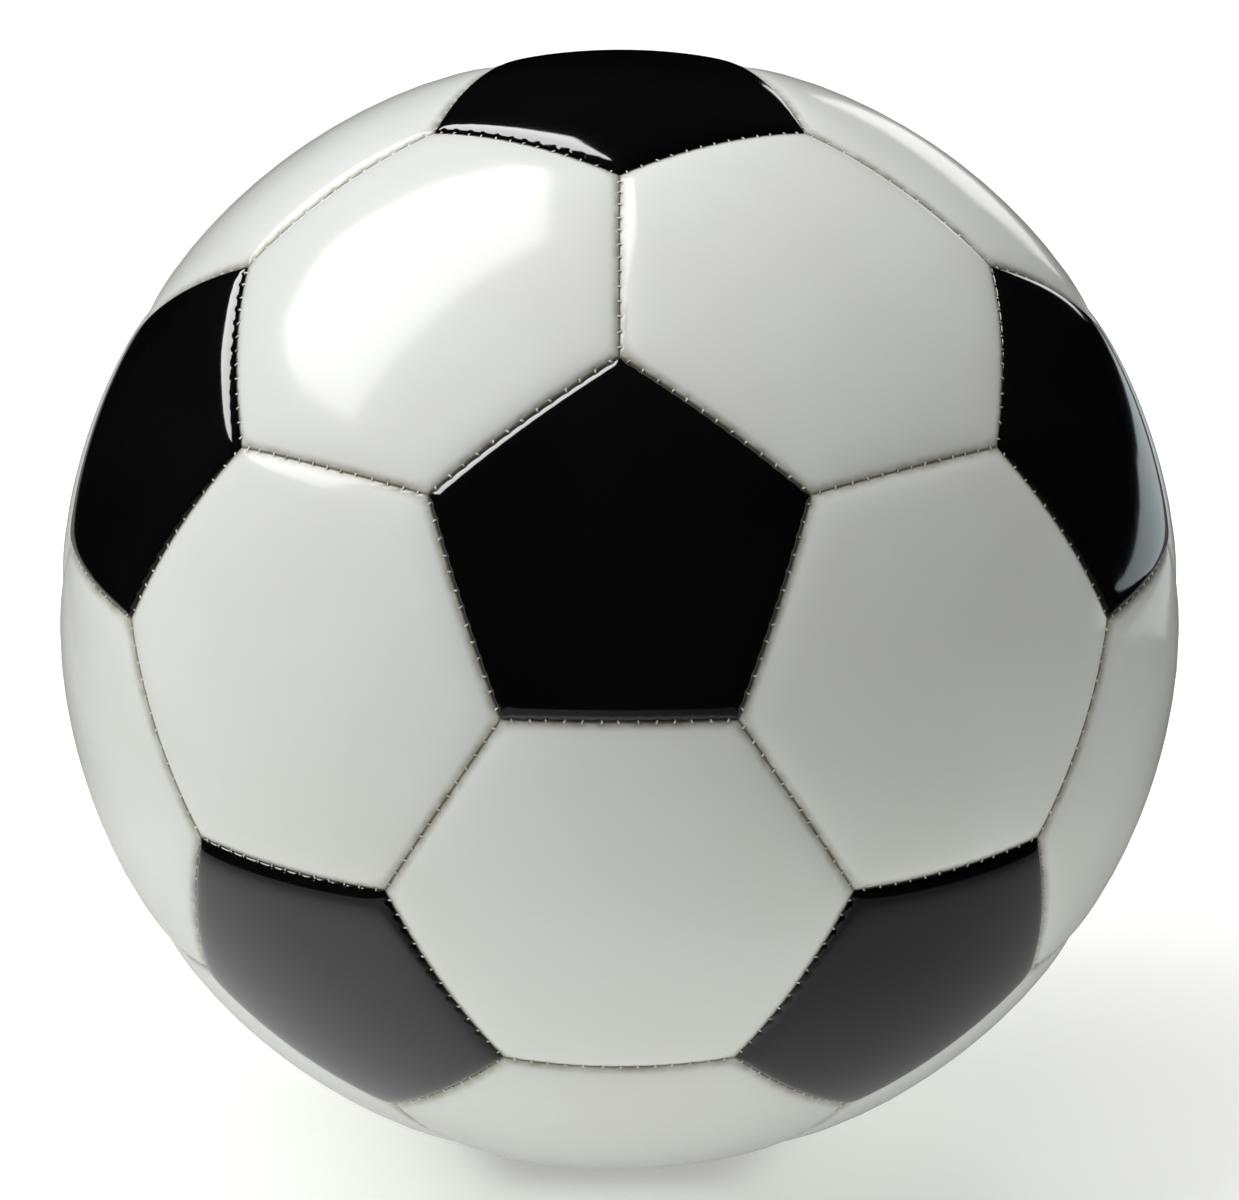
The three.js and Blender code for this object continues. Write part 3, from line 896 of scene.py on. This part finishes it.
def make_floor():
    """A pale floor, and two lit cards under it that are all the gloss shows of the floor."""
    glow = {"Emission_Color": FLOOR_GLOW_COLOUR, "Emission_Strength": FLOOR_GLOW}
    pale = Finish("pale_floor", IOR=1.45, Roughness=0.9, **glow)
    surface = pale.finish(Base_Color=pale.mix(pale.noise(FLOOR_TINT_SIZE), *FLOOR_TINTS))
    floor = make_sheet("studio_floor", at_height(rectangle(FLOOR_CORNERS), FLOOR_HEIGHT), surface)
    floor.visible_glossy = False

    lit = lit_finish("lit_card", 1)
    left_to_right = lit.add("ShaderNodeSeparateXYZ", inputs={"Vector": lit.position}).outputs["X"]
    without_height = {0: lit.position, 1: (1, 1, 0)}
    flat = lit.add("ShaderNodeVectorMath", {"operation": "MULTIPLY"}, without_height).outputs["Vector"]
    outward = lit.add("ShaderNodeVectorMath", {"operation": "LENGTH"}, {0: flat}).outputs["Value"]
    across = lit.ramp(left_to_right, *SHINE_ACROSS.values())
    around = lit.ramp(outward, *SHINE_AROUND.values())
    shine = lit.finish(Emission_Strength=lit.multiply(across, around))
    card_height = FLOOR_HEIGHT - CARD_DEPTH
    show_to_gloss_only(make_sheet("studio_card", at_height(rectangle(SHINE_CORNERS), card_height), shine))
    far = lit_finish("far_card", FAR_GLOW, FAR_COLOUR).material
    show_to_gloss_only(make_sheet("far_card", at_height(rectangle(FAR_CORNERS), card_height), far))


def make_window():
    """The bright window that the gloss shows as highlights, and the bright ground behind the ball."""
    glass = lit_finish("window_glass", WINDOW_GLOW).material
    show_to_gloss_only(make_sheet("window", at_height(WINDOW_CORNERS, WINDOW_HEIGHT), glass))
    ground = lit_finish("lit_backdrop", BACKDROP_GLOW).material
    outline = [(across, BACKDROP_BEHIND, up) for across, up in rectangle(BACKDROP_CORNERS)]
    show_to_gloss_only(make_sheet("backdrop", outline, ground))


def make_light(name, place, size, radiance):
    """A rectangular soft light that faces the ball, and that neither the camera nor the gloss sees."""
    light = bpy.data.lights.new(name, "AREA")
    light.shape = "RECTANGLE"
    light.size, light.size_y = size
    light.energy = radiance * AREA_LIGHT_WATTS * size[0] * size[1]
    lamp = bpy.data.objects.new(name, light)
    lamp.location = place
    lamp.rotation_euler = Vector(place).to_track_quat("Z", "Y").to_euler()
    lamp.visible_camera = lamp.visible_glossy = False
    bpy.context.scene.collection.objects.link(lamp)


def make_world():
    """A white ground for the camera, and an even dim light for everything else."""
    world = bpy.data.worlds.new("studio")
    world.use_nodes = True
    nodes, links = world.node_tree.nodes, world.node_tree.links
    background = nodes["Background"]
    ray = nodes.new("ShaderNodeLightPath")
    strength = nodes.new("ShaderNodeMapRange")
    strength.inputs["To Min"].default_value = WORLD_LIGHT
    strength.inputs["To Max"].default_value = 1.0
    links.new(ray.outputs["Is Camera Ray"], strength.inputs["Value"])
    links.new(strength.outputs["Result"], background.inputs["Strength"])
    background.inputs["Color"].default_value = (1, 1, 1, 1)
    bpy.context.scene.world = world


def make_camera():
    """The camera looks down a little, along +Y, at a point just above the ball's centre."""
    camera = bpy.data.cameras.new("camera")
    camera.lens = CAMERA_LENS
    camera.sensor_width = CAMERA_SENSOR_WIDTH
    camera.clip_start, camera.clip_end = CAMERA_CLIP
    mount = bpy.data.objects.new("camera", camera)
    back = Vector((0, -math.cos(CAMERA_ELEVATION), math.sin(CAMERA_ELEVATION)))
    up = Vector((0, math.sin(CAMERA_ELEVATION), math.cos(CAMERA_ELEVATION)))
    mount.location = back * CAMERA_DISTANCE + up * CAMERA_AIM_ABOVE
    mount.rotation_euler = (-back).to_track_quat("-Z", "Y").to_euler()
    bpy.context.scene.collection.objects.link(mount)
    bpy.context.scene.camera = mount


make_floor()
make_window()
make_world()
for light in LIGHTS:
    make_light(**light)
make_camera()
bpy.context.scene.view_settings.view_transform = "Standard"
